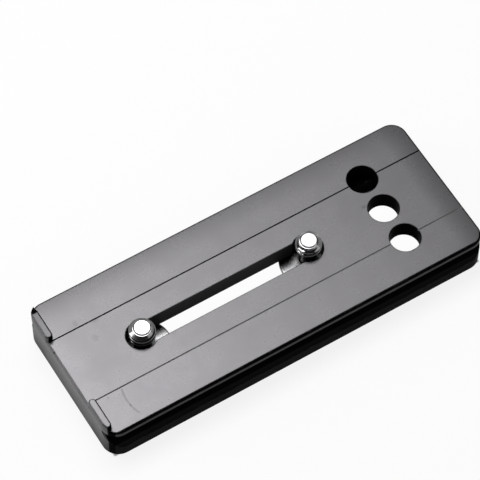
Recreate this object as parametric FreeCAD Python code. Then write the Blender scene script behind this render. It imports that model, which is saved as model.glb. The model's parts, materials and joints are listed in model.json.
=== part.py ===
import FreeCAD, Part
from math import atan2, cos, radians, sin, sqrt
import os

# Quick release plate with two captive camera screws, in millimetres.
# Origin: middle of the underside.  X runs along the plate, with the two lips at the -X end and the
# three holes at the +X end.  +Y is the back long side, +Z is up, away from the clamp.

V = FreeCAD.Vector
UP = V(0, 0, 1)
PARTS_FOLDER = "parts"

# plate
plate_length = 99.5
deck_width = 38.1            # width of the deck that carries the camera
base_width = 38.8            # width across the dovetail, which the clamp holds
plate_height = 10.0          # underside to deck
corner_radius = 3.7          # deck corners seen from above
deck_edge = 0.45             # chamfer round the deck
base_edge = 0.45             # chamfer round the underside

# dovetail flanks
flange_height = 1.4          # deck flange above the flank
neck_height = 1.05           # upright wall between the flank and the deck flange
neck_fillet = 0.4            # cutter radius at the head and the foot of the neck

# camera screws, 1/4-20
thread_diameter = 6.15
thread_length = 3.3          # tip to the shoulder under the thread
tip_diameter = 3.6
tip_slope = 0.95             # height of the cone at the tip
neck_diameter = 3.9
neck_play = 0.5              # how far a screw can be lifted in the slot
shoulder_gap = 0.1           # thread above the deck while the screw hangs in the slot
flange_diameter = 13.6
flange_thickness = 1.0
flange_edge = 0.2
button_diameter = 11.1
button_rim = 0.7             # upright part of the button above its dome
button_face = 6.4            # flat round the hex socket
head_height = 3.35           # flange and button together
socket_across_flats = 4.0
socket_depth = 2.1

# underside pocket, which hides the screw heads
deck_thickness = 4.85        # metal left between deck and pocket
pocket_end_wall = 8.25       # metal left at each end of the pocket
head_room = 3.7              # from a screw's flange to the side of the pocket
pocket_corner = 5.0
pocket_edge = 0.3

# screw slot
neck_clearance = 0.77        # from a screw's neck to the side of the slot
thread_clearance = 0.555     # round a thread as it passes a drilled hole
slot_inset = 19.2            # from the plate's -X end to the slot's first drilled hole
slot_span = 43.85            # between the drilled holes at the slot's two ends
screw_shift = 0.2            # both screws stand this far to the +X side of those holes' centres
edge_break = 0.15            # light chamfer on the deck side of slot and holes

# row of three holes, made with the same drill
row_inset = 15.9             # from the plate's +X end to the row
hole_pitch = 9.15

# lips that stop the camera from twisting
lip_height = 2.0
lip_thickness = 1.85
lip_gap = 18.1               # free width between the two lips
lip_edge = 0.3
front_lip_inset = 1.75       # from the deck's side to the front lip's outer end
back_lip_inset = 2.95        # from the deck's side to the bevel on the back lip's outer end
bevel_run = 1.9
bevel_drop = 1.3

# fine lines along the deck
line_offset = 9.02           # from the middle of the plate
line_width = 0.36
line_depth = 0.22

half_length = plate_length / 2
half_deck = deck_width / 2
half_base = base_width / 2
half_neck = half_deck - corner_radius     # the neck ends where the corner rounding begins
flange_floor = plate_height - flange_height
dovetail_top = flange_floor - neck_height
rim_height = dovetail_top - (half_base - half_neck)     # the flank leans in at 45 degrees
pocket_roof = plate_height - deck_thickness
pocket_length = plate_length - 2 * pocket_end_wall
pocket_width = flange_diameter + 2 * head_room
slot_width = neck_diameter + 2 * neck_clearance
drill_radius = thread_diameter / 2 + thread_clearance
slot_left = slot_inset - half_length
slot_right = slot_left + slot_span
hole_row = half_length - row_inset


def rounded_slab(length, width, radius, bottom, top):
    """Block with rounded upright corners, centred on the origin in plan."""
    x = length / 2
    y = width / 2
    low_left = V(-x, -y, bottom)
    base = Part.makeBox(length, width, top - bottom, low_left)
    upright = [e for e in base.Edges if abs(e.tangentAt(e.FirstParameter).z) > 0.9]
    return base.makeFillet(radius, upright)


def outline_edges(solid, height):
    """Edges of the flat face at this height, hole edges left out."""
    faces = [f for f in solid.Faces if abs(f.BoundBox.ZMax - height) < 1e-6
             and f.BoundBox.ZLength < 1e-6]
    widest = max(faces, key=lambda f: f.BoundBox.DiagonalLength)
    return widest.OuterWire.Edges


def bar_along_x(points):
    """Prism along the whole plate from a cross-section given as (y, z) points."""
    wire = Part.makePolygon([V(-half_length, y, z) for y, z in points + points[:1]])
    return Part.Face(wire).extrude(V(plate_length, 0, 0))


def section_bar():
    """Whole cross-section along X: upright rim, flank at 45 degrees, neck and deck flange."""
    side = [(half_base, 0), (half_base, rim_height), (half_neck, dovetail_top),
            (half_neck, flange_floor), (half_deck, flange_floor), (half_deck, plate_height)]
    other_side = [(-y, z) for y, z in reversed(side)]
    bar = bar_along_x(side + other_side)
    long_edges = [e for e in bar.Edges if e.BoundBox.XLength > half_length]
    inner = [e for e in long_edges if abs(abs(e.CenterOfMass.y) - half_neck) < 1e-6]
    return bar.makeFillet(neck_fillet, inner)


def plate_blank():
    """The bar with its upright corners rounded and its edges chamfered, before the cut-outs."""
    bar = section_bar()
    base_corner = corner_radius + half_base - half_deck
    mid_neck = (dovetail_top + flange_floor) / 2
    foot = rounded_slab(plate_length, base_width, base_corner, 0, mid_neck)
    foot = foot.makeChamfer(base_edge, outline_edges(foot, 0))
    head = rounded_slab(plate_length, deck_width, corner_radius, mid_neck, plate_height)
    head = head.makeChamfer(deck_edge, outline_edges(head, plate_height))
    return bar.common(foot).fuse(bar.common(head)).removeSplitter()


def lip(side, reach):
    """Raised lip on the -X end; side is +1 for the back one and -1 for the front one.

    It runs from the gap in the middle to this reach, and follows the rounded corner.
    """
    low = plate_height - 2 * deck_edge
    top = plate_height + lip_height
    end_radius = lip_thickness / 2
    middle_x = -half_length + end_radius
    first = V(middle_x, side * (lip_gap / 2 + end_radius), low)
    last = V(middle_x, side * (reach - end_radius), low)
    corner = V(-half_length, min(first.y, last.y), low)
    bar = Part.makeBox(lip_thickness, abs(last.y - first.y), top - low, corner)
    ends = [Part.makeCylinder(end_radius, top - low, centre) for centre in (first, last)]
    bar = bar.multiFuse(ends).removeSplitter()
    bar = bar.makeChamfer(lip_edge, outline_edges(bar, top))
    outline = rounded_slab(plate_length, deck_width, corner_radius, low, top)
    outline = outline.makeChamfer(lip_edge, outline_edges(outline, top))
    return bar.common(outline)


def back_lip():
    """Lip that runs out to the rounded corner, with its outer end bevelled down."""
    top = plate_height + lip_height
    above = top + lip_height
    flat_end = half_deck - back_lip_inset
    bevel_end = flat_end + bevel_run
    outside = bevel_end + back_lip_inset
    section = [(flat_end, above), (flat_end, top), (bevel_end, top - bevel_drop),
               (outside, top - bevel_drop), (outside, above)]
    return lip(1, half_deck).cut(bar_along_x(section))


def pocket():
    """Hollow under the deck, with a chamfered mouth."""
    hollow = rounded_slab(pocket_length, pocket_width, pocket_corner, 0, pocket_roof)
    mouth = rounded_slab(pocket_length + 2 * pocket_edge, pocket_width + 2 * pocket_edge,
                         pocket_corner + pocket_edge, -pocket_edge, pocket_edge)
    mouth = mouth.makeChamfer(pocket_edge, outline_edges(mouth, pocket_edge))
    return hollow.fuse(mouth)


def drilled(x, y):
    """Round hole from the deck down to the pocket's roof, with its edge broken."""
    shaft = Part.makeCylinder(drill_radius, deck_thickness, V(x, y, pocket_roof))
    rim = Part.makeCone(drill_radius, drill_radius + edge_break, edge_break,
                        V(x, y, plate_height - edge_break))
    return shaft.fuse(rim)


def screw_slot():
    """Slot that the necks slide in, with a drilled hole at each end to pass the thread."""
    span = slot_right - slot_left
    half = slot_width / 2
    channel = Part.makeBox(span, slot_width, deck_thickness, V(slot_left, -half, pocket_roof))
    low = plate_height - edge_break
    wide = half + edge_break
    section = [V(slot_left, -half, low), V(slot_left, half, low),
               V(slot_left, wide, plate_height), V(slot_left, -wide, plate_height)]
    bevel = Part.Face(Part.makePolygon(section + section[:1])).extrude(V(span, 0, 0))
    ends = [drilled(slot_left, 0), drilled(slot_right, 0)]
    return channel.multiFuse([bevel] + ends)


def deck_line(y):
    """Fine V-shaped line along the whole deck."""
    section = [V(-half_length, y - line_width / 2, plate_height),
               V(-half_length, y + line_width / 2, plate_height),
               V(-half_length, y, plate_height - line_depth)]
    return Part.Face(Part.makePolygon(section + section[:1])).extrude(V(plate_length, 0, 0))


def plate_body():
    cuts = [pocket(), screw_slot(), deck_line(line_offset), deck_line(-line_offset)]
    cuts += [drilled(hole_row, row * hole_pitch) for row in (-1, 0, 1)]
    body = plate_blank().cut(cuts[0].multiFuse(cuts[1:]))
    body = body.multiFuse([back_lip(), lip(-1, half_deck - front_lip_inset)])
    return body.removeSplitter()


def hexagon_prism(across_flats, bottom, top):
    radius = across_flats / sqrt(3)
    corners = [V(radius * cos(radians(60 * k)), radius * sin(radians(60 * k)), bottom)
               for k in range(7)]
    return Part.Face(Part.makePolygon(corners)).extrude(V(0, 0, top - bottom))


def camera_screw(x):
    """Captive screw hanging in the slot by the shoulder under its thread."""
    shoulder = plate_height + shoulder_gap
    tip = shoulder + thread_length
    flange_top = shoulder - deck_thickness - neck_play
    flange_low = flange_top - flange_thickness
    bottom = flange_top - head_height
    rim_low = flange_low - button_rim
    r_tip = tip_diameter / 2
    r_thread = thread_diameter / 2
    r_neck = neck_diameter / 2
    r_flange = flange_diameter / 2
    r_button = button_diameter / 2
    r_face = button_face / 2
    # the dome is an arc that leaves the flat face smoothly and ends at the upright rim
    dome_width = r_button - r_face
    dome_height = rim_low - bottom
    r_dome = (dome_width ** 2 + dome_height ** 2) / (2 * dome_height)
    half_turn = atan2(dome_width, r_dome - dome_height) / 2
    bulge = V(r_face + r_dome * sin(half_turn), 0, bottom + r_dome * (1 - cos(half_turn)))
    outline = [
        Part.makePolygon([
            V(0, 0, bottom), V(r_face, 0, bottom)]),
        Part.Arc(V(r_face, 0, bottom), bulge, V(r_button, 0, rim_low)).toShape(),
        Part.makePolygon([
            V(r_button, 0, rim_low), V(r_button, 0, flange_low),
            V(r_flange - flange_edge, 0, flange_low), V(r_flange, 0, flange_low + flange_edge),
            V(r_flange, 0, flange_top - flange_edge), V(r_flange - flange_edge, 0, flange_top),
            V(r_neck, 0, flange_top), V(r_neck, 0, shoulder), V(r_thread, 0, shoulder),
            V(r_thread, 0, tip - tip_slope), V(r_tip, 0, tip), V(0, 0, tip), V(0, 0, bottom)]),
    ]
    edges = [e for piece in outline for e in piece.Edges]
    profile = Part.Face(Part.Wire(Part.__sortEdges__(edges)))
    screw = profile.revolve(V(0, 0, 0), UP, 360)
    screw = screw.cut(hexagon_prism(socket_across_flats, bottom, bottom + socket_depth))
    screw.translate(V(x, 0, 0))
    return screw


def export(name, shape):
    solids = shape.Solids
    result = solids[0] if len(solids) == 1 else shape
    if not result.isValid():
        print(name, "is not valid")
    box = result.BoundBox
    print(name, "solids", len(solids), "volume", round(result.Volume, 1),
          "x", round(box.XMin, 2), round(box.XMax, 2), "y", round(box.YMin, 2), round(box.YMax, 2),
          "z", round(box.ZMin, 2), round(box.ZMax, 2))
    result.exportStep(os.path.join(PARTS_FOLDER, name + ".step"))


os.makedirs("parts", exist_ok=True)
export("plate_body", plate_body())
export("left_camera_screw", camera_screw(slot_left + screw_shift))
export("right_camera_screw", camera_screw(slot_right + screw_shift))
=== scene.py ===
# %% [markdown]
# A quick release plate stays screwed to the underside of a camera or of a lens foot, and its dovetail
# drops into the clamp on a tripod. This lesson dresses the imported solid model. The plate is milled to
# shape already, so it keeps its mesh and only gets its finish: bead blasted and dyed black. The two
# screws are turned again here, because their threads are plain cylinders in the solid model.

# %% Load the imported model
import json
import math
import bpy
import numpy as np
from mathutils import Matrix, Vector


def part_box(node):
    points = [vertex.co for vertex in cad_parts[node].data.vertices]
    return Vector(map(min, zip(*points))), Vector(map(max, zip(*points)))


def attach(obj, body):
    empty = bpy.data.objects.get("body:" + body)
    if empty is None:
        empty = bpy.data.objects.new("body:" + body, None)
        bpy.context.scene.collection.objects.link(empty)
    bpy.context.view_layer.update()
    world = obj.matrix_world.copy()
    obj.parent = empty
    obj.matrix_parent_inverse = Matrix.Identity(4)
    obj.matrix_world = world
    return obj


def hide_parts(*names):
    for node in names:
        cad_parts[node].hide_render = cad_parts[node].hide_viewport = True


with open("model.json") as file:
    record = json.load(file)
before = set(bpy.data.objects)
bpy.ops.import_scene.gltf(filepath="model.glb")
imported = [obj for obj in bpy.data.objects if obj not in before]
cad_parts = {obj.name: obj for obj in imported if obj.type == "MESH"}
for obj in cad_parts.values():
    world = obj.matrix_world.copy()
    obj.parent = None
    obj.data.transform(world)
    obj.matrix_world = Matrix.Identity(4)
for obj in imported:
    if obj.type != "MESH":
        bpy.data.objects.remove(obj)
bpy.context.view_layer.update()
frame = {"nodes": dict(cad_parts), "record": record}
MM = 0.001

# %% [markdown]
# The camera looks down on the deck from the front left through a long lens, so that the long edges stay
# nearly parallel. Its place is given the way a photographer would say it: the point it aims at, how far
# off it stands, which way it looks, how steeply, and how much it leans.

# %% Camera
scene = bpy.context.scene
scene.view_settings.view_transform = "Standard"
AIM = Vector((1.17, 9.78, 10.0)) * MM
DISTANCE = 668.2 * MM
HEADING = math.radians(31.525)       # from +Y towards +X
DIP = math.radians(59.172)           # below the horizon
LEAN = math.radians(0.322)           # the right side of the frame tips up
LENS_MM = 219.45
SENSOR_MM = 36.0

looking = Vector((math.sin(HEADING) * math.cos(DIP), math.cos(HEADING) * math.cos(DIP), -math.sin(DIP)))
level = Vector((math.cos(HEADING), -math.sin(HEADING), 0))
upright = level.cross(looking)
right = level * math.cos(LEAN) + upright * math.sin(LEAN)
up = right.cross(looking)

camera_data = bpy.data.cameras.new("plate_camera")
camera_data.lens = LENS_MM
camera_data.sensor_width = SENSOR_MM
camera_data.clip_start = 0.01
camera_data.clip_end = 50.0
camera = bpy.data.objects.new("plate_camera", camera_data)
turn = Matrix((right, up, -looking)).transposed().to_4x4()
camera.matrix_world = Matrix.Translation(AIM - looking * DISTANCE) @ turn
scene.collection.objects.link(camera)
scene.camera = camera
print("camera stands at, mm:", [round(c / MM, 1) for c in camera.matrix_world.translation])

# %% [markdown]
# Every material below is a small tree of shader nodes. A few helpers keep the trees readable. One adds a
# node with its settings and sockets, and two do arithmetic. A socket is given either a plain value or the
# output of another node.

# %% Helpers: nodes and arithmetic
def place(tree, kind, sockets=None, **settings):
    """Add a node; sockets maps input names or numbers to values or to other nodes' outputs."""
    added = tree.nodes.new(kind)
    for name, value in settings.items():
        setattr(added, name, value)
    for name, value in (sockets or {}).items():
        if isinstance(value, bpy.types.NodeSocket):
            tree.links.new(value, added.inputs[name])
        else:
            added.inputs[name].default_value = value
    return added


def calc(tree, operation, *values, clamp=False):
    """One arithmetic step: MULTIPLY, ABSOLUTE, SUBTRACT and so on."""
    step = place(tree, "ShaderNodeMath", dict(enumerate(values)), operation=operation)
    step.use_clamp = clamp
    return step.outputs[0]


def chain(tree, operation, *values):
    """The same step carried through a row of values: their product, their sum or the largest of them."""
    result = values[0]
    for value in values[1:]:
        result = calc(tree, operation, result, value)
    return result


def ramp(tree, value, low, high, out_low=0.0, out_high=1.0, kind="SMOOTHSTEP"):
    """Map a value from low..high to out_low..out_high, held at both ends."""
    sockets = {"Value": value, "From Min": low, "From Max": high, "To Min": out_low, "To Max": out_high}
    return place(tree, "ShaderNodeMapRange", sockets, interpolation_type=kind).outputs["Result"]


def ramp_mm(tree, value, low, high, out_low=0.0, out_high=1.0, kind="SMOOTHSTEP"):
    """The same for a length, with low and high in millimetres."""
    return ramp(tree, value, low * MM, high * MM, out_low, out_high, kind)


print("arithmetic helpers ready")

# %% [markdown]
# The rest of the helpers name what the trees are made of: the parts of a place, cloudy noise, a blend of
# two colours, a bump, a shared group, and an empty group or material to start from.

# %% Helpers: places, colours and groups
def split(tree, vector):
    """The X, Y and Z outputs of a place."""
    return place(tree, "ShaderNodeSeparateXYZ", {0: vector}).outputs


def noise(tree, vector, scale, detail, **more):
    """Cloudy values round one half; more gives further sockets by name."""
    sockets = {"Vector": vector, "Scale": scale, "Detail": detail, **more}
    return place(tree, "ShaderNodeTexNoise", sockets).outputs["Fac"]


def grey(value):
    """A colour with equal red, green and blue."""
    return (value, value, value, 1)


def blend(tree, factor, first, second):
    """The first colour where the factor is 0 and the second where it is 1."""
    return place(tree, "ShaderNodeMix", {0: factor, 6: first, 7: second}, data_type="RGBA").outputs[2]


def bump(tree, height, distance, strength=1.0, **more):
    """A normal tilted by a height; more may give the Normal that it starts from."""
    sockets = {"Height": height, "Distance": distance, "Strength": strength, **more}
    return place(tree, "ShaderNodeBump", sockets).outputs[0]


def shared(tree, group, vector, values=None):
    """Place a shared group; values maps names of its sockets to this tree's own values."""
    return place(tree, "ShaderNodeGroup", {"Vector": vector, **(values or {})}, node_tree=group).outputs


def blank_group(name, inputs, outputs):
    """A node group with named sockets: inputs maps each name to its default, outputs lists names."""
    group = bpy.data.node_groups.new(name, "ShaderNodeTree")
    for socket, default in inputs.items():
        kind = "NodeSocketVector" if default is None else "NodeSocketFloat"
        made = group.interface.new_socket(name=socket, in_out="INPUT", socket_type=kind)
        if default is not None:
            made.default_value = default
    for socket in outputs:
        group.interface.new_socket(name=socket, in_out="OUTPUT", socket_type="NodeSocketFloat")
    return group, group.nodes.new("NodeGroupInput").outputs, group.nodes.new("NodeGroupOutput").inputs


def blank_material(name):
    """A material with nothing in it but its output node, which is returned with the tree."""
    made = bpy.data.materials.new(name)
    made.use_nodes = True
    made.node_tree.nodes.clear()
    return made, made.node_tree, made.node_tree.nodes.new("ShaderNodeOutputMaterial")


print("colour and group helpers ready")

# %% [markdown]
# The stage is a wide sheet of pale paper. A share of plain white is mixed in for the eye and for mirrors
# only, so that the paper looks as white as in a studio without more light on the plate. That share stops
# under the plate, where it would show as bright slivers, and starts again within the pocket, where the
# white is seen through the slot and the holes. From underneath the paper has to let the eye and one lamp
# through, or nobody could look at the pocket and the screw heads: it is clear where it is seen from
# behind, and for shadow rays.

# %% Paper floor
FLOOR_HALF = 2.5
FLOOR_DROP = 0.05 * MM               # a hair under the plate, so that the two faces never coincide
PLATE_HALF_MM = {"X": 49.0, "Y": 19.0}
POCKET_HALF_MM = {"X": 40.2, "Y": 9.2}
FLOOR_SHARE = 0.85
POCKET_SHARE = 0.97
PAPER_SHADES = (grey(0.90), grey(0.93))


def inside(tree, spot, half_sizes):
    """1 within a rectangle round the origin, given by its half sizes in millimetres, and 0 outside it."""
    sides = []
    for axis, half in half_sizes.items():
        sides.append(ramp_mm(tree, calc(tree, "ABSOLUTE", spot[axis]), half - 0.6, half - 0.1, 1.0, 0.0))
    return chain(tree, "MULTIPLY", *sides)


paper, tree, out = blank_material("pale_paper")
where = place(tree, "ShaderNodeTexCoord").outputs["Object"]
fibre = noise(tree, where, 900.0, 4.0)
sheet = place(tree, "ShaderNodeBsdfPrincipled",
              {"Base Color": blend(tree, fibre, *PAPER_SHADES), "Roughness": 0.9, "Specular IOR Level": 0.1,
               "Normal": bump(tree, fibre, 0.02 * MM, 0.5)})
spot = split(tree, where)
around = ramp(tree, inside(tree, spot, PLATE_HALF_MM), 0.0, 1.0, FLOOR_SHARE, 0.0, "LINEAR")
within = calc(tree, "MULTIPLY", inside(tree, spot, POCKET_HALF_MM), POCKET_SHARE)
rays = place(tree, "ShaderNodeLightPath").outputs
mirrored = calc(tree, "ADD", rays["Is Glossy Ray"], rays["Is Transmission Ray"])
seen = calc(tree, "ADD", rays["Is Camera Ray"], mirrored, clamp=True)
share = calc(tree, "MULTIPLY", calc(tree, "ADD", around, within), seen)
white = place(tree, "ShaderNodeEmission", {"Color": grey(1), "Strength": 1.0})
lit = place(tree, "ShaderNodeMixShader", {0: share, 1: sheet.outputs[0], 2: white.outputs[0]})
clear = place(tree, "ShaderNodeBsdfTransparent")
behind = place(tree, "ShaderNodeNewGeometry").outputs["Backfacing"]
see_through = calc(tree, "MAXIMUM", behind, rays["Is Shadow Ray"])
mixed = place(tree, "ShaderNodeMixShader", {0: see_through, 1: lit.outputs[0], 2: clear.outputs[0]})
tree.links.new(mixed.outputs[0], out.inputs["Surface"])

floor_mesh = bpy.data.meshes.new("paper_floor")
corners = np.array([[-1, -1, 0], [1, -1, 0], [1, 1, 0], [-1, 1, 0]], float) * FLOOR_HALF
floor_mesh.from_pydata(corners.tolist(), [], [[0, 1, 2, 3]])
floor_mesh.materials.append(paper)
floor = bpy.data.objects.new("paper_floor", floor_mesh)
floor.location.z = -FLOOR_DROP
scene.collection.objects.link(floor)
print("floor is", 2 * FLOOR_HALF, "m wide")

# %% [markdown]
# Black dye leaves little colour of its own, so the deck looks grey mostly because it mirrors a softbox.
# The key lamp and its weaker wing hang side by side where the deck's mirror sends the camera's eye, high
# and beyond the plate, so the mirrored light weakens towards the far side and the right end. A box on
# the left lights the end with the lips, a weak one at the front right lights the near sides of the
# threads, and one under the floor lights the pocket. Each lamp's power is worked out from the brightness
# that it should show.

# %% Lamps
def softbox(name, centre, target, width, height, brightness):
    """A flat lamp that faces its target; power is brightness times pi times area."""
    data = bpy.data.lights.new(name, "AREA")
    data.shape = "RECTANGLE"
    data.size = width
    data.size_y = height
    data.energy = brightness * math.pi * width * height
    lamp = bpy.data.objects.new(name, data)
    facing = (Vector(target) - Vector(centre)).to_track_quat("-Z", "Y")
    lamp.matrix_world = Matrix.Translation(centre) @ facing.to_matrix().to_4x4()
    lamp.visible_camera = False
    scene.collection.objects.link(lamp)
    return lamp


LAMPS = [                            # name, centre, target, width, height, brightness
    ("key_softbox", (-0.058, 0.204, 0.545), (-0.058, 0.0, 0.0), 0.364, 0.26, 7.8),
    ("key_wing", (0.186, 0.204, 0.545), (0.186, 0.0, 0.0), 0.124, 0.26, 3.6),
    ("left_softbox", (-0.565, 0.262, 0.24), (0.0, 0.0, 0.0), 0.32, 0.34, 3.0),
    ("right_softbox", (0.40, -0.48, 0.44), (0.0, 0.0, 0.0), 0.50, 0.36, 0.50),
    ("under_softbox", (0.05, -0.05, -0.55), (0.0, 0.0, 0.0), 0.40, 0.30, 4.0),
]
lamps = [softbox(*settings) for settings in LAMPS]
print("lamps:", [lamp.name for lamp in lamps])

# %% [markdown]
# The air shines as it would between pale walls under a dark ceiling. It is bright at the horizon and
# below, dimmer from there up to between thirty and fifty degrees, and almost dark overhead, where only
# the softboxes should show in the metal. The limits are heights on a sphere of radius 1.

# %% Air
HORIZON_GLOW = 0.8
WALL_GLOW = 0.42
CEILING_GLOW = 0.02
air = bpy.data.worlds.new("studio_air")
air.use_nodes = True
tree = air.node_tree
tree.nodes.clear()
upward = split(tree, place(tree, "ShaderNodeTexCoord").outputs["Generated"])["Z"]
horizon = ramp(tree, upward, 0.06, 0.12, HORIZON_GLOW, 0.0)
room = calc(tree, "MULTIPLY", ramp(tree, upward, 0.08, 0.16),
            ramp(tree, upward, 0.54, 0.76, WALL_GLOW, CEILING_GLOW))
glow = place(tree, "ShaderNodeBackground", {"Color": grey(1), "Strength": calc(tree, "ADD", horizon, room)})
tree.links.new(glow.outputs[0], place(tree, "ShaderNodeOutputWorld").inputs["Surface"])
scene.world = air
print("air", air.name)

# %% [markdown]
# Wear shows first where a surface turns sharply. A Bevel node gives the normal that a rounded edge would
# have, and where it leans away from the true normal there is an edge nearby. The group puts that line
# out as Edge. Cloudy noise breaks it up for Mask, because no edge wears evenly. Both metals use the
# group, each with its own width and amount.

# %% Shared group: edge wear
edge_wear, given, result = blank_group(
    "edge_wear", {"Vector": None, "Width": 0.0003, "Patch": 400.0, "Amount": 0.5}, ["Mask", "Edge"])
rounded = place(edge_wear, "ShaderNodeBevel", {"Radius": given["Width"]}, samples=4)
true_normal = place(edge_wear, "ShaderNodeNewGeometry").outputs["Normal"]
agree = place(edge_wear, "ShaderNodeVectorMath", {0: rounded.outputs[0], 1: true_normal},
              operation="DOT_PRODUCT")
bend = calc(edge_wear, "SUBTRACT", 1.0, agree.outputs["Value"])
near_edge = ramp(edge_wear, bend, 0.01, 0.12)
broken = ramp(edge_wear, noise(edge_wear, given["Vector"], given["Patch"], 5.0, Roughness=0.65), 0.48, 0.66)
worn = calc(edge_wear, "MULTIPLY", near_edge, broken)
edge_wear.links.new(calc(edge_wear, "MULTIPLY", worn, given["Amount"], clamp=True), result["Mask"])
edge_wear.links.new(near_edge, result["Edge"])
print("group", edge_wear.name)

# %% [markdown]
# Under the dye the metal was bead blasted, which leaves a fine even grain, and handling leaves cloudy
# smears. One group gives both: a height for the grain and a value between 0 and 1 for the smears.

# %% Shared group: fine grain and smears
grain, given, result = blank_group(
    "fine_grain", {"Vector": None, "Grain Scale": 3500.0, "Smear Scale": 130.0}, ["Height", "Smear"])
grain.links.new(noise(grain, given["Vector"], given["Grain Scale"], 2.0), result["Height"])
slow = noise(grain, given["Vector"], given["Smear Scale"], 6.0, Roughness=0.7, Distortion=0.3)
grain.links.new(ramp(grain, slow, 0.30, 0.72), result["Smear"])
print("group", grain.name)

# %% [markdown]
# Blasting and tumbling also roll the outer few millimetres of the deck over by two or three degrees. The
# eye can't see that as a shape, but the mirrored softbox slides off the far side and off the right end.
# A drop of about a seventh of a millimetre, growing as the square of the nearness to the edge, is
# enough, and it goes in as a bump.

# %% Group: rolled rim of the deck
rolled, given, result = blank_group(
    "rolled_rim", {"Vector": None, "Half Length": 0.0493, "Half Width": 0.0186, "Reach": 0.006,
                   "Drop": 0.00014}, ["Height"])
spot = split(rolled, given["Vector"])
drops = []
for axis, half in (("X", "Half Length"), ("Y", "Half Width")):
    from_edge = calc(rolled, "SUBTRACT", given[half], calc(rolled, "ABSOLUTE", spot[axis]))
    farness = calc(rolled, "DIVIDE", from_edge, given["Reach"], clamp=True)
    nearness = calc(rolled, "SUBTRACT", 1.0, farness)
    drops.append(chain(rolled, "MULTIPLY", nearness, nearness, given["Drop"]))
rolled.links.new(calc(rolled, "MULTIPLY", calc(rolled, "ADD", *drops), -1.0), result["Height"])
print("group", rolled.name)

# %% [markdown]
# Use has left its own marks on the deck, and they stay where the real plate has them: a curved scratch and
# two dots near the front lip, a smudge beside the middle hole, faint rub marks near the back lip, a notch
# in the left edge. One group draws them all as soft spots and one arc, and gives a dark mask.

# %% Group: marks of use on the deck
DECK_TOP_MM = 10.0
SPOTS = [                            # x, y, half length, half width in millimetres, darkness
    (-41.56, -14.02, 0.32, 0.24, 0.8),
    (-44.87, -9.89, 0.26, 0.26, 0.7),
    (-49.45, 6.25, 0.45, 0.40, 0.9),
    (30.1, 2.6, 0.9, 0.6, 0.35),
    (-37.7, 8.7, 1.5, 0.8, 0.18),
    (-39.7, 4.8, 1.2, 1.6, 0.14),
    (-41.8, 10.2, 0.9, 1.3, 0.16),
]
ARC_CENTRE = Vector((-31.61, -12.52, 0.0)) * MM
ARC_RADIUS = 10.05 * MM
ARC_DARKNESS = 0.45
ARC_LIMITS = [                       # axis, from and to in millimetres, the arc's strength before and after
    ("X", -40.8, -40.2, 1.0, 0.0),
    ("Y", -17.2, -16.4, 0.0, 1.0),
    ("Y", -9.8, -9.0, 1.0, 0.0),
]


def soft_spot(tree, vector, x, y, half_x, half_y, amount):
    """A spot that fades from its middle to an ellipse's edge; places and sizes in millimetres."""
    middle = (x * MM, y * MM, DECK_TOP_MM * MM)
    shifted = place(tree, "ShaderNodeVectorMath", {0: vector, 1: middle}, operation="SUBTRACT")
    shape = (1 / (half_x * MM), 1 / (half_y * MM), 1 / MM)
    scaled = place(tree, "ShaderNodeVectorMath", {0: shifted.outputs[0], 1: shape}, operation="MULTIPLY")
    reach = place(tree, "ShaderNodeVectorMath", {0: scaled.outputs[0]}, operation="LENGTH")
    return ramp(tree, reach.outputs["Value"], 0.2, 1.0, amount, 0.0)


used, given, result = blank_group("marks_of_use", {"Vector": None}, ["Dark"])
spots = [soft_spot(used, given["Vector"], *numbers) for numbers in SPOTS]
flat_place = place(used, "ShaderNodeVectorMath", {0: given["Vector"], 1: (1.0, 1.0, 0.0)},
                   operation="MULTIPLY").outputs[0]
from_centre = place(used, "ShaderNodeVectorMath", {0: flat_place, 1: ARC_CENTRE},
                    operation="DISTANCE").outputs["Value"]
off_arc = calc(used, "ABSOLUTE", calc(used, "SUBTRACT", from_centre, ARC_RADIUS))
spot = split(used, given["Vector"])
ends = [ramp_mm(used, spot[axis], *limits) for axis, *limits in ARC_LIMITS]
scratch = chain(used, "MULTIPLY", ramp_mm(used, off_arc, 0.04, 0.22, 1.0, 0.0), *ends, ARC_DARKNESS)
used.links.new(chain(used, "MAXIMUM", *spots, scratch), result["Dark"])
print("group", used.name, "with", len(SPOTS), "spots and one arc")

# %% [markdown]
# The finish of the plate is a hard oxide layer with black dye in its pores. It mirrors softly, like a
# very dark metal, so the outer faces get a share of Metallic: most of the grey on them is the mirrored
# studio. The share is largest on the deck, the lips and the underside, grows with height on the two
# ends and on the long sides, and is nothing on the walls of the slot, the holes and the recess, which
# stay matt. The same share mixes the colour, so it also paints shade: the ends and the long sides darker
# towards the bottom, the lips darker towards the back, and the chamfers and the front edge of the deck
# dark. Masks by place tell the faces apart.

# %% Finish of the plate: masks of the outer faces
anodised, tree, out = blank_material("black_anodised_aluminium")
where = place(tree, "ShaderNodeTexCoord").outputs["Object"]
spot = split(tree, where)
along = calc(tree, "ABSOLUTE", spot["X"])
across = calc(tree, "ABSOLUTE", spot["Y"])
from_deck = calc(tree, "ABSOLUTE", calc(tree, "SUBTRACT", spot["Z"], DECK_TOP_MM * MM))
plate_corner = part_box("plate_body")[1] / MM

# Painted shade: the height ramps on the ends and sides, the lips' fall towards the back and the cut-offs at
# the chamfers and the front edge darken the colour as well as the gloss.
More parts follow.
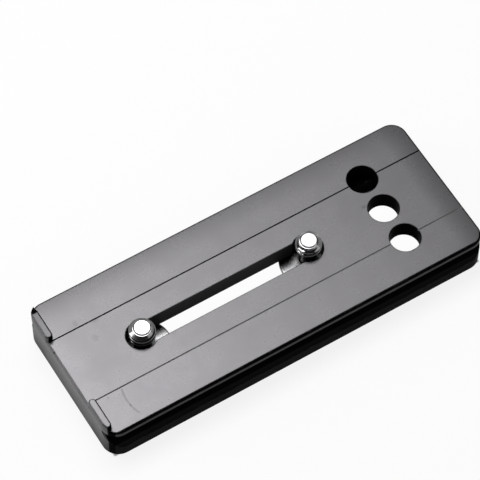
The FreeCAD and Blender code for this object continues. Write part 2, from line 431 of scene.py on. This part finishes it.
chamfer_x = calc(tree, "MULTIPLY", spot["X"], ramp_mm(tree, spot["Z"], 9.55, 9.65))
on_end = chain(tree, "MULTIPLY",
               ramp_mm(tree, along, plate_corner.x - 0.6, plate_corner.x - 0.4),
               ramp_mm(tree, spot["Z"], 0.5, 8.5, 0.30, 0.92, "LINEAR"),
               ramp_mm(tree, chamfer_x, 48.0, 49.0, 1.0, 0.0),
               ramp_mm(tree, spot["Z"], 9.45, 9.60, 1.0, 0.80))
on_side = chain(tree, "MULTIPLY",
                ramp_mm(tree, across, plate_corner.y - 1.0, plate_corner.y - 0.8),
                ramp_mm(tree, spot["Z"], 9.55, 9.65, 1.0, 0.0),
                ramp_mm(tree, spot["Z"], 3.6, 8.0, 0.055, 0.37))
on_deck = chain(tree, "MULTIPLY",
                ramp_mm(tree, from_deck, 0.01, 0.04, 1.0, 0.0),
                ramp_mm(tree, spot["Y"], -18.5, -18.2))
on_lip = chain(tree, "MULTIPLY",
               ramp_mm(tree, spot["Z"], 11.88, 11.95),
               ramp_mm(tree, spot["Y"], 0.0, 8.0, 0.96, 0.80))
underneath = ramp_mm(tree, spot["Z"], 0.3, 0.5, 1.0, 0.0)
outer = chain(tree, "MAXIMUM", on_deck, on_lip, underneath, on_end, on_side)
print("outer faces told apart on", anodised.name)

# %% [markdown]
# The dye comes out a little cloudy. Rolled edges look darker than the flat deck, so the Edge output of
# the wear group draws a thin dark outline round it, a painted shade, but not along the two fine lines.
# Those lines are grooves in the mesh. The back one stays black with the painted shade of the inner walls,
# and the front one gets a painted highlight and is paler. The slot and the left part of the pocket are
# painted a little paler than the holes too, a lighter painted shade.

# %% Finish of the plate: colours
LINE_OFFSET_MM = 9.02                # of each fine line, from the middle of the deck
POCKET_HALF_WIDTH_MM = 10.5
OUTLINE_AMOUNT = 0.85
INNER_PAINTED_SHADE = grey(0.002)
SLOT_PAINTED_SHADE = (0.044, 0.043, 0.044, 1)
FRONT_LINE_PAINTED_HIGHLIGHT = grey(0.18)
DYE_SHADES = ((0.1218, 0.1188, 0.1237, 1), (0.1078, 0.1051, 0.1095, 1))
MARK_AND_EDGE_SHADE_BLACK = grey(0.012)
WORN_EDGE = (0.20, 0.20, 0.205, 1)

# Painted shade: the walls of the holes, the recess and the right part of the pocket are near black, and the
# slot and the left part of the pocket a little less dark.
in_pocket = chain(tree, "MULTIPLY",
                  ramp_mm(tree, across, POCKET_HALF_WIDTH_MM, POCKET_HALF_WIDTH_MM + 0.08, 1.0, 0.0),
                  ramp_mm(tree, spot["Z"], 5.18, 5.25, 1.0, 0.0),
                  ramp_mm(tree, spot["X"], 14.0, 28.0, 1.0, 0.0))
in_slot = chain(tree, "MULTIPLY",
                ramp_mm(tree, across, 4.0, 4.5, 1.0, 0.0),
                ramp_mm(tree, spot["X"], 18.0, 20.0, 1.0, 0.0))
off_front_line = calc(tree, "ABSOLUTE", calc(tree, "ADD", spot["Y"], LINE_OFFSET_MM * MM))
# Painted highlight: the front fine line is coloured pale grey, where the back one stays dark.
front_line_highlight = chain(tree, "MULTIPLY",
                      ramp_mm(tree, from_deck, 0.24, 0.30, 1.0, 0.0),
                      ramp_mm(tree, off_front_line, 0.18, 0.24, 1.0, 0.0))
inner = blend(tree, calc(tree, "MAXIMUM", in_slot, in_pocket), INNER_PAINTED_SHADE, SLOT_PAINTED_SHADE)
inner = blend(tree, front_line_highlight, inner, FRONT_LINE_PAINTED_HIGHLIGHT)

blasted = shared(tree, grain, where)
wear = shared(tree, edge_wear, where, {"Width": 0.40 * MM, "Amount": 0.18})
handled = shared(tree, used, where)
cloudy = calc(tree, "MULTIPLY_ADD", blasted["Smear"], 0.5, calc(tree, "SUBTRACT", blasted["Height"], 0.25))
off_either_line = calc(tree, "ABSOLUTE", calc(tree, "SUBTRACT", across, LINE_OFFSET_MM * MM))
# Painted shade: a dark outline along the edges, mixed in with the same black as the marks of use.
painted_edge_shade = chain(tree, "MULTIPLY", wear["Edge"], ramp_mm(tree, off_either_line, 0.45, 0.60), OUTLINE_AMOUNT)
marks_and_edge_shade = blend(tree, calc(tree, "MAXIMUM", handled["Dark"], painted_edge_shade),
               blend(tree, cloudy, *DYE_SHADES), MARK_AND_EDGE_SHADE_BLACK)
skin = blend(tree, wear["Mask"], blend(tree, outer, inner, marks_and_edge_shade), WORN_EDGE)
print("colours mixed for", anodised.name)

# %% [markdown]
# One Principled shader puts the finish together. The smears vary the roughness by a trace, the grain is
# a bump on top of the rolled rim, and the plate's material slots all get the same finish.

# %% Finish of the plate: black anodised aluminium
METALLIC_SHARE = 0.65
OXIDE_IOR = 1.015                    # next to no gloss beside the metallic share
rim = shared(tree, rolled, where)
grained = bump(tree, blasted["Height"], 0.004 * MM, Normal=bump(tree, rim["Height"], 1.0))
oxide = place(tree, "ShaderNodeBsdfPrincipled",
              {"Base Color": skin, "Metallic": calc(tree, "MULTIPLY", outer, METALLIC_SHARE),
               "Roughness": ramp(tree, blasted["Smear"], 0.0, 1.0, 0.27, 0.285, "LINEAR"),
               "IOR": OXIDE_IOR, "Specular Tint": grey(0.8), "Normal": grained})
tree.links.new(oxide.outputs[0], out.inputs["Surface"])
for piece_slot in frame["nodes"]["plate_body"].material_slots:
    piece_slot.material = anodised
print("plate finished with", anodised.name)

# %% [markdown]
# A camera screw is turned on a lathe, so its surface is one outline carried round the axis, with two
# exceptions: the thread, whose radius rises and falls with height and with the angle, and the hexagonal
# socket. Both fit the same grid of angle against outline, if the radius may change along a row. All
# sizes are in millimetres.

# %% The screw's outline
THREAD_PITCH = 1.27                  # twenty turns to the inch
THREAD_DEPTH = 0.74
THREAD_LENGTH = 3.3                  # from the tip down to the shoulder
CREST_SHARE = 0.14                   # of half a pitch, flat on the crest
FLANK_SHARE = 0.66                   # of half a pitch, from the crest's edge down to the root
NECK_RADIUS = 1.95                   # leaves play beside the neck at both ends of the slot
TIP_RADIUS = 1.76                    # flat disc at the tip
PILOT_RADIUS = 2.05                  # short tapered pilot under the disc
PILOT_HEIGHT = 0.40
STEP_RADIUS = 2.17                   # narrow, almost flat step round the pilot
STEP_FALL = 0.015
CONE_SLOPE = 0.68                    # fall per millimetre outwards, where the thread starts
FLANGE_RADIUS = 6.8
FLANGE_THICKNESS = 1.0
ROUNDING = 0.2                       # of the flange's edges and at the foot of the neck
BUTTON_RADIUS = 5.55
BUTTON_RIM = 0.7
FACE_RADIUS = 3.2
HEAD_HEIGHT = 3.35
SOCKET_ACROSS_FLATS = 4.0
SOCKET_DEPTH = 2.1
SOCKET_CHAMFER = 0.1
AROUND = 180                         # two degrees each, so the hexagon's corners fall on the grid

low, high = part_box("left_camera_screw")
record_thread = [m for m in frame["record"]["mounts"] if m["name"] == "left_thread"][0]
CREST_RADIUS = record_thread["dims"]["r_mm"]
HEAD_BOTTOM = low.z / MM
TIP_TOP = high.z / MM
FLANGE_TOP = HEAD_BOTTOM + HEAD_HEIGHT
SHOULDER = TIP_TOP - THREAD_LENGTH
print("screw from", round(HEAD_BOTTOM, 2), "to", round(TIP_TOP, 2), "mm, crest radius", CREST_RADIUS)


def arc(centre, radius, start, end, count):
    """Points on a circle in the (radius, height) plane, from one angle in degrees to another."""
    angles = np.radians(np.linspace(start, end, count))
    return np.stack([centre[0] + radius * np.cos(angles), centre[1] + radius * np.sin(angles)], axis=1)


def line(start, end, step):
    """Points on a straight run, no further apart than the step, the first one left out."""
    start, end = np.array(start, float), np.array(end, float)
    count = max(1, int(math.ceil(np.linalg.norm(end - start) / step)))
    return start + (end - start) * np.linspace(0, 1, count + 1)[1:, None]


def screw_outline():
    """The turned outline from the tip's centre down to the rim of the socket, as (radius, height) rows."""
    step = TIP_TOP - PILOT_HEIGHT
    cone_low = step - STEP_FALL - (CREST_RADIUS - STEP_RADIUS) * CONE_SLOPE
    flange_low = FLANGE_TOP - FLANGE_THICKNESS
    flat_end = FLANGE_RADIUS - ROUNDING
    rim_low = flange_low - BUTTON_RIM
    dome_width, dome_height = BUTTON_RADIUS - FACE_RADIUS, rim_low - HEAD_BOTTOM
    dome_radius = (dome_width ** 2 + dome_height ** 2) / (2 * dome_height)
    dome_end = math.degrees(math.atan2(dome_width, dome_radius - dome_height))
    dome = arc((FACE_RADIUS, HEAD_BOTTOM + dome_radius), dome_radius, -90 + dome_end, -90, 16)
    parts = [
        line((0, TIP_TOP), (TIP_RADIUS, TIP_TOP), 0.2),
        line((TIP_RADIUS, TIP_TOP), (PILOT_RADIUS, step), 0.1),
        line((PILOT_RADIUS, step), (STEP_RADIUS, step - STEP_FALL), 0.06),
        line((STEP_RADIUS, step - STEP_FALL), (CREST_RADIUS, cone_low), 0.03),
        line((CREST_RADIUS, cone_low), (CREST_RADIUS, SHOULDER), 0.03),
        line((CREST_RADIUS, SHOULDER), (NECK_RADIUS, SHOULDER), 0.3),
        line((NECK_RADIUS, SHOULDER), (NECK_RADIUS, FLANGE_TOP + ROUNDING), 0.5),
        arc((NECK_RADIUS + ROUNDING, FLANGE_TOP + ROUNDING), ROUNDING, 180, 270, 5)[1:],
        line((NECK_RADIUS + ROUNDING, FLANGE_TOP), (flat_end, FLANGE_TOP), 0.35),
        arc((flat_end, FLANGE_TOP - ROUNDING), ROUNDING, 90, 0, 5)[1:],
        arc((flat_end, flange_low + ROUNDING), ROUNDING, 0, -90, 5),
        line((flat_end, flange_low), (BUTTON_RADIUS, flange_low), 0.3),
        line((BUTTON_RADIUS, flange_low), (BUTTON_RADIUS, rim_low), 0.35),
        dome[1:],
    ]
    return np.concatenate(parts)


# %% [markdown]
# The thread is a groove that climbs one pitch each turn. How deep a point lies depends only on how far it
# is from the nearest crest, measured along the axis: flat on the crest, then a steep flank, then a
# rounded root. Taking the smaller of this radius and the outline's gives the tip its tapered start.

# %% Thread and socket
def thread_radius(height, angle):
    """Radius of a right-handed thread: crest minus depth times s squared times (3 minus 2 s).

    The share s is 0 on the flat of the crest and 1 in the root.
    """
    turn_share = (height / THREAD_PITCH - angle / (2 * math.pi)) % 1.0
    from_crest = np.abs(turn_share - 0.5) * 2
    s = np.clip((from_crest - CREST_SHARE) / FLANK_SHARE, 0, 1)
    return CREST_RADIUS - THREAD_DEPTH * s * s * (3 - 2 * s)


def hexagon_radius(angle, across_flats):
    """Distance from the axis to the side of a hexagon with corners at 0, 60, 120 degrees and so on."""
    return across_flats / 2 / np.cos((angle % (math.pi / 3)) - math.pi / 6)


def run_along(radii, heights):
    """Distance along an outline from the axis to each point, in millimetres."""
    return np.concatenate([[0], np.cumsum(np.hypot(np.diff(radii), np.diff(heights)))]) + radii[0]


print("thread of", THREAD_PITCH, "mm pitch and", THREAD_DEPTH, "mm depth")

# %% [markdown]
# The rows of the outline become rings of points, joined by quads, and a fan of triangles closes each end
# on the axis. The mesh also carries two things for its finish: a UV map that follows the lathe's cut, and
# how deep each point lies in the thread.

# %% The closed surface
def closed_surface(name, radii, heights, groove, centre_x):
    """Rows of (radius, height) by angle, closed by one point on the axis at each end, as a mesh.

    In its UV map U is the share of the turn and V the distance along the outline in millimetres. The
    attribute "groove" holds how deep each point lies in the thread, as a share of the thread's depth.
    """
    rows, columns = radii.shape
    angle = np.arange(columns) * 2 * math.pi / columns
    ring = np.stack([radii * np.cos(angle) + centre_x, radii * np.sin(angle), heights], axis=2).reshape(-1, 3)
    poles = np.array([[centre_x, 0, heights[0, 0]], [centre_x, 0, heights[-1, 0]]])
    points = np.concatenate([ring, poles]) * MM

    row, column = np.meshgrid(np.arange(rows - 1), np.arange(columns), indexing="ij")
    after = (column + 1) % columns
    quads = np.stack([row * columns + column, (row + 1) * columns + column,
                      (row + 1) * columns + after, row * columns + after], axis=2).reshape(-1, 4)
    first = np.arange(columns)
    following = (first + 1) % columns
    top_pole, low_pole = rows * columns, rows * columns + 1
    last = (rows - 1) * columns
    top_fan = np.stack([np.full(columns, top_pole), first, following], axis=1)
    low_fan = np.stack([np.full(columns, low_pole), last + following, last + first], axis=1)
    mesh = bpy.data.meshes.new(name)
    mesh.from_pydata(points.tolist(), [], quads.tolist() + top_fan.tolist() + low_fan.tolist())

    run = run_along(radii[:, 0], heights[:, 0])
    u, u_after, v, v_next = column / columns, (column + 1) / columns, run[row], run[row + 1]
    share, share_after = first / columns, (first + 1) / columns
    top_v, low_v = np.full(columns, run[0]), np.full(columns, run[-1])
    corner_uv = [
        [(u, v), (u, v_next), (u_after, v_next), (u_after, v)],
        [(share, top_v * 0), (share, top_v), (share_after, top_v)],
        [(share, low_v + radii[-1, 0]), (share_after, low_v), (share, low_v)],
    ]
    uv = [np.stack([np.stack(corner, -1) for corner in face], -2).reshape(-1, 2) for face in corner_uv]
    layer = mesh.uv_layers.new(name="turned")
    layer.data.foreach_set("uv", np.concatenate(uv).astype(np.float32).ravel())
    depths = mesh.attributes.new("groove", "FLOAT", "POINT")
    depths.data.foreach_set("value", np.concatenate([groove.ravel(), [0, 0]]).astype(np.float32))
    mesh.shade_smooth()
    mesh.set_sharp_from_angle(angle=math.radians(38))
    mesh.update()
    return mesh


def camera_screw(name, centre_x, thread_start):
    """Outline rows over all angles, cut back by the thread above the shoulder, then the hexagonal socket."""
    outline = screw_outline()
    angle = np.arange(AROUND) * 2 * math.pi / AROUND
    turned = np.repeat(outline[:, :1], AROUND, axis=1)
    heights = np.repeat(outline[:, 1:], AROUND, axis=1)
    cut = np.minimum(turned, thread_radius(heights, angle - thread_start))
    radii = np.where(heights > SHOULDER - 1e-6, cut, turned)
    groove = np.clip((turned - radii) / THREAD_DEPTH, 0, 1)
    rim = hexagon_radius(angle, SOCKET_ACROSS_FLATS + 2 * SOCKET_CHAMFER)
    bore = hexagon_radius(angle, SOCKET_ACROSS_FLATS)
    floor_height = HEAD_BOTTOM + SOCKET_DEPTH
    socket = [(rim * 0.4 + FACE_RADIUS * 0.6, HEAD_BOTTOM), (rim, HEAD_BOTTOM),
              (bore, HEAD_BOTTOM + SOCKET_CHAMFER), (bore, HEAD_BOTTOM + SOCKET_DEPTH / 2),
              (bore, floor_height), (bore * 0.5, floor_height)]
    radii = np.concatenate([radii, [r for r, z in socket]])
    heights = np.concatenate([heights, [np.full(AROUND, z) for r, z in socket]])
    groove = np.concatenate([groove, np.zeros((len(socket), AROUND))])
    return closed_surface(name, radii, heights, groove, centre_x)


outline = screw_outline()
outline_run = run_along(*outline.T)
on_flange = np.flatnonzero((np.abs(outline[:, 1] - FLANGE_TOP) < 0.01) & (outline[:, 0] > NECK_RADIUS + 0.1))
flange_starts = outline_run[on_flange[0]]
print("outline rows:", len(outline), "the flange's top starts at", round(flange_starts, 2), "mm along it")

# %% [markdown]
# The screws are plain bright steel. The lathe leaves rings that follow the outline, so their height comes
# from noise stretched round the turn. It reads the screw's own UV map.

# %% Group: marks of the lathe
turned_marks, given, result = blank_group("turned_marks", {"Vector": None, "Rings": 9.0}, ["Height"])
flat = split(turned_marks, given["Vector"])
stretched = place(turned_marks, "ShaderNodeCombineXYZ",
                  {0: calc(turned_marks, "MULTIPLY", flat["X"], 3.0),
                   1: calc(turned_marks, "MULTIPLY", flat["Y"], given["Rings"])})
turned_marks.links.new(noise(turned_marks, stretched.outputs[0], 1.0, 3.0), result["Height"])
print("group", turned_marks.name)

# %% [markdown]
# The thread is polished, and painted shade darkens its grooves, the neck and the thread up to a
# millimetre above the deck. The flange and the head hang in the pocket and are duller and rougher, and
# painted shade darkens the flange round the foot of the neck. Edges are rubbed bright in places.

# %% Finish of the screws: turned steel
POLISHED_SHADES = ((0.38, 0.38, 0.39, 1), (0.30, 0.30, 0.305, 1))
THREAD_SHADE_BLACK = grey(0.03)
THREAD_SHADE_AMOUNT = 0.92
NECK_SHADE_BLACK = grey(0.02)
DULL_STEEL = (0.23, 0.23, 0.235, 1)
RUBBED_STEEL = (0.66, 0.66, 0.67, 1)
# The thread's rise and fall makes V run 0.9 and 1.7 mm ahead of the plain outline on the two screws.
NECK_SHADE_RUN = (flange_starts + 1.55, flange_starts + 2.55)

steel, tree, out = blank_material("turned_steel")
where = place(tree, "ShaderNodeTexCoord").outputs
marks = shared(tree, turned_marks, where["UV"])
touched = shared(tree, grain, where["Object"], {"Smear Scale": 350.0})
wear = shared(tree, edge_wear, where["Object"], {"Width": 0.12 * MM, "Patch": 900.0, "Amount": 0.6})
height = split(tree, where["Object"])["Z"]
under_deck = ramp_mm(tree, height, 4.8, 5.6, 1.0, 0.0)
near_deck = ramp_mm(tree, height, 10.2, 11.3, 1.0, 0.0)
in_groove = ramp(tree, place(tree, "ShaderNodeAttribute", attribute_name="groove").outputs["Fac"], 0.25, 0.80)
# Painted shade: the grooves, the neck and the thread next to the deck are darkened towards black.
painted_thread_shade = calc(tree, "MULTIPLY", calc(tree, "MAXIMUM", in_groove, near_deck), THREAD_SHADE_AMOUNT)
# Painted shade: near black on the flange round the foot of the neck, turning to plain steel further out.
past_neck_shade = ramp(tree, split(tree, where["UV"])["Y"], *NECK_SHADE_RUN)
upper = blend(tree, painted_thread_shade, blend(tree, touched["Smear"], *POLISHED_SHADES), THREAD_SHADE_BLACK)
lower = blend(tree, past_neck_shade, NECK_SHADE_BLACK, DULL_STEEL)
rubbed = blend(tree, wear["Mask"], blend(tree, under_deck, upper, lower), RUBBED_STEEL)
rough = calc(tree, "ADD", ramp(tree, touched["Smear"], 0.0, 1.0, 0.07, 0.14, "LINEAR"),
             calc(tree, "MULTIPLY", under_deck, 0.16))
metal = place(tree, "ShaderNodeBsdfPrincipled", {"Base Color": rubbed, "Metallic": 1.0, "Roughness": rough,
                                                 "Normal": bump(tree, marks["Height"], 0.008 * MM)})
tree.links.new(metal.outputs[0], out.inputs["Surface"])
print("steel ready")

# %% [markdown]
# Each screw stands exactly where its solid stands, and takes over from it. The solid stays in the physics
# model, and the new piece rides on the same body, so it slides along the slot with it.

# %% Both screws
THREAD_STARTS = {"left": math.radians(60), "right": math.radians(200)}
for side, thread_start in THREAD_STARTS.items():
    node = side + "_camera_screw"
    low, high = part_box(node)
    mesh = camera_screw(side + "_screw_turned", (low.x + high.x) / 2 / MM, thread_start)
    mesh.materials.append(steel)
    screw = bpy.data.objects.new(side + "_screw_turned", mesh)
    scene.collection.objects.link(screw)
    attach(screw, side + "_screw")
    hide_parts(node)
    print(screw.name, "triangles", sum(len(face.vertices) - 2 for face in mesh.polygons))
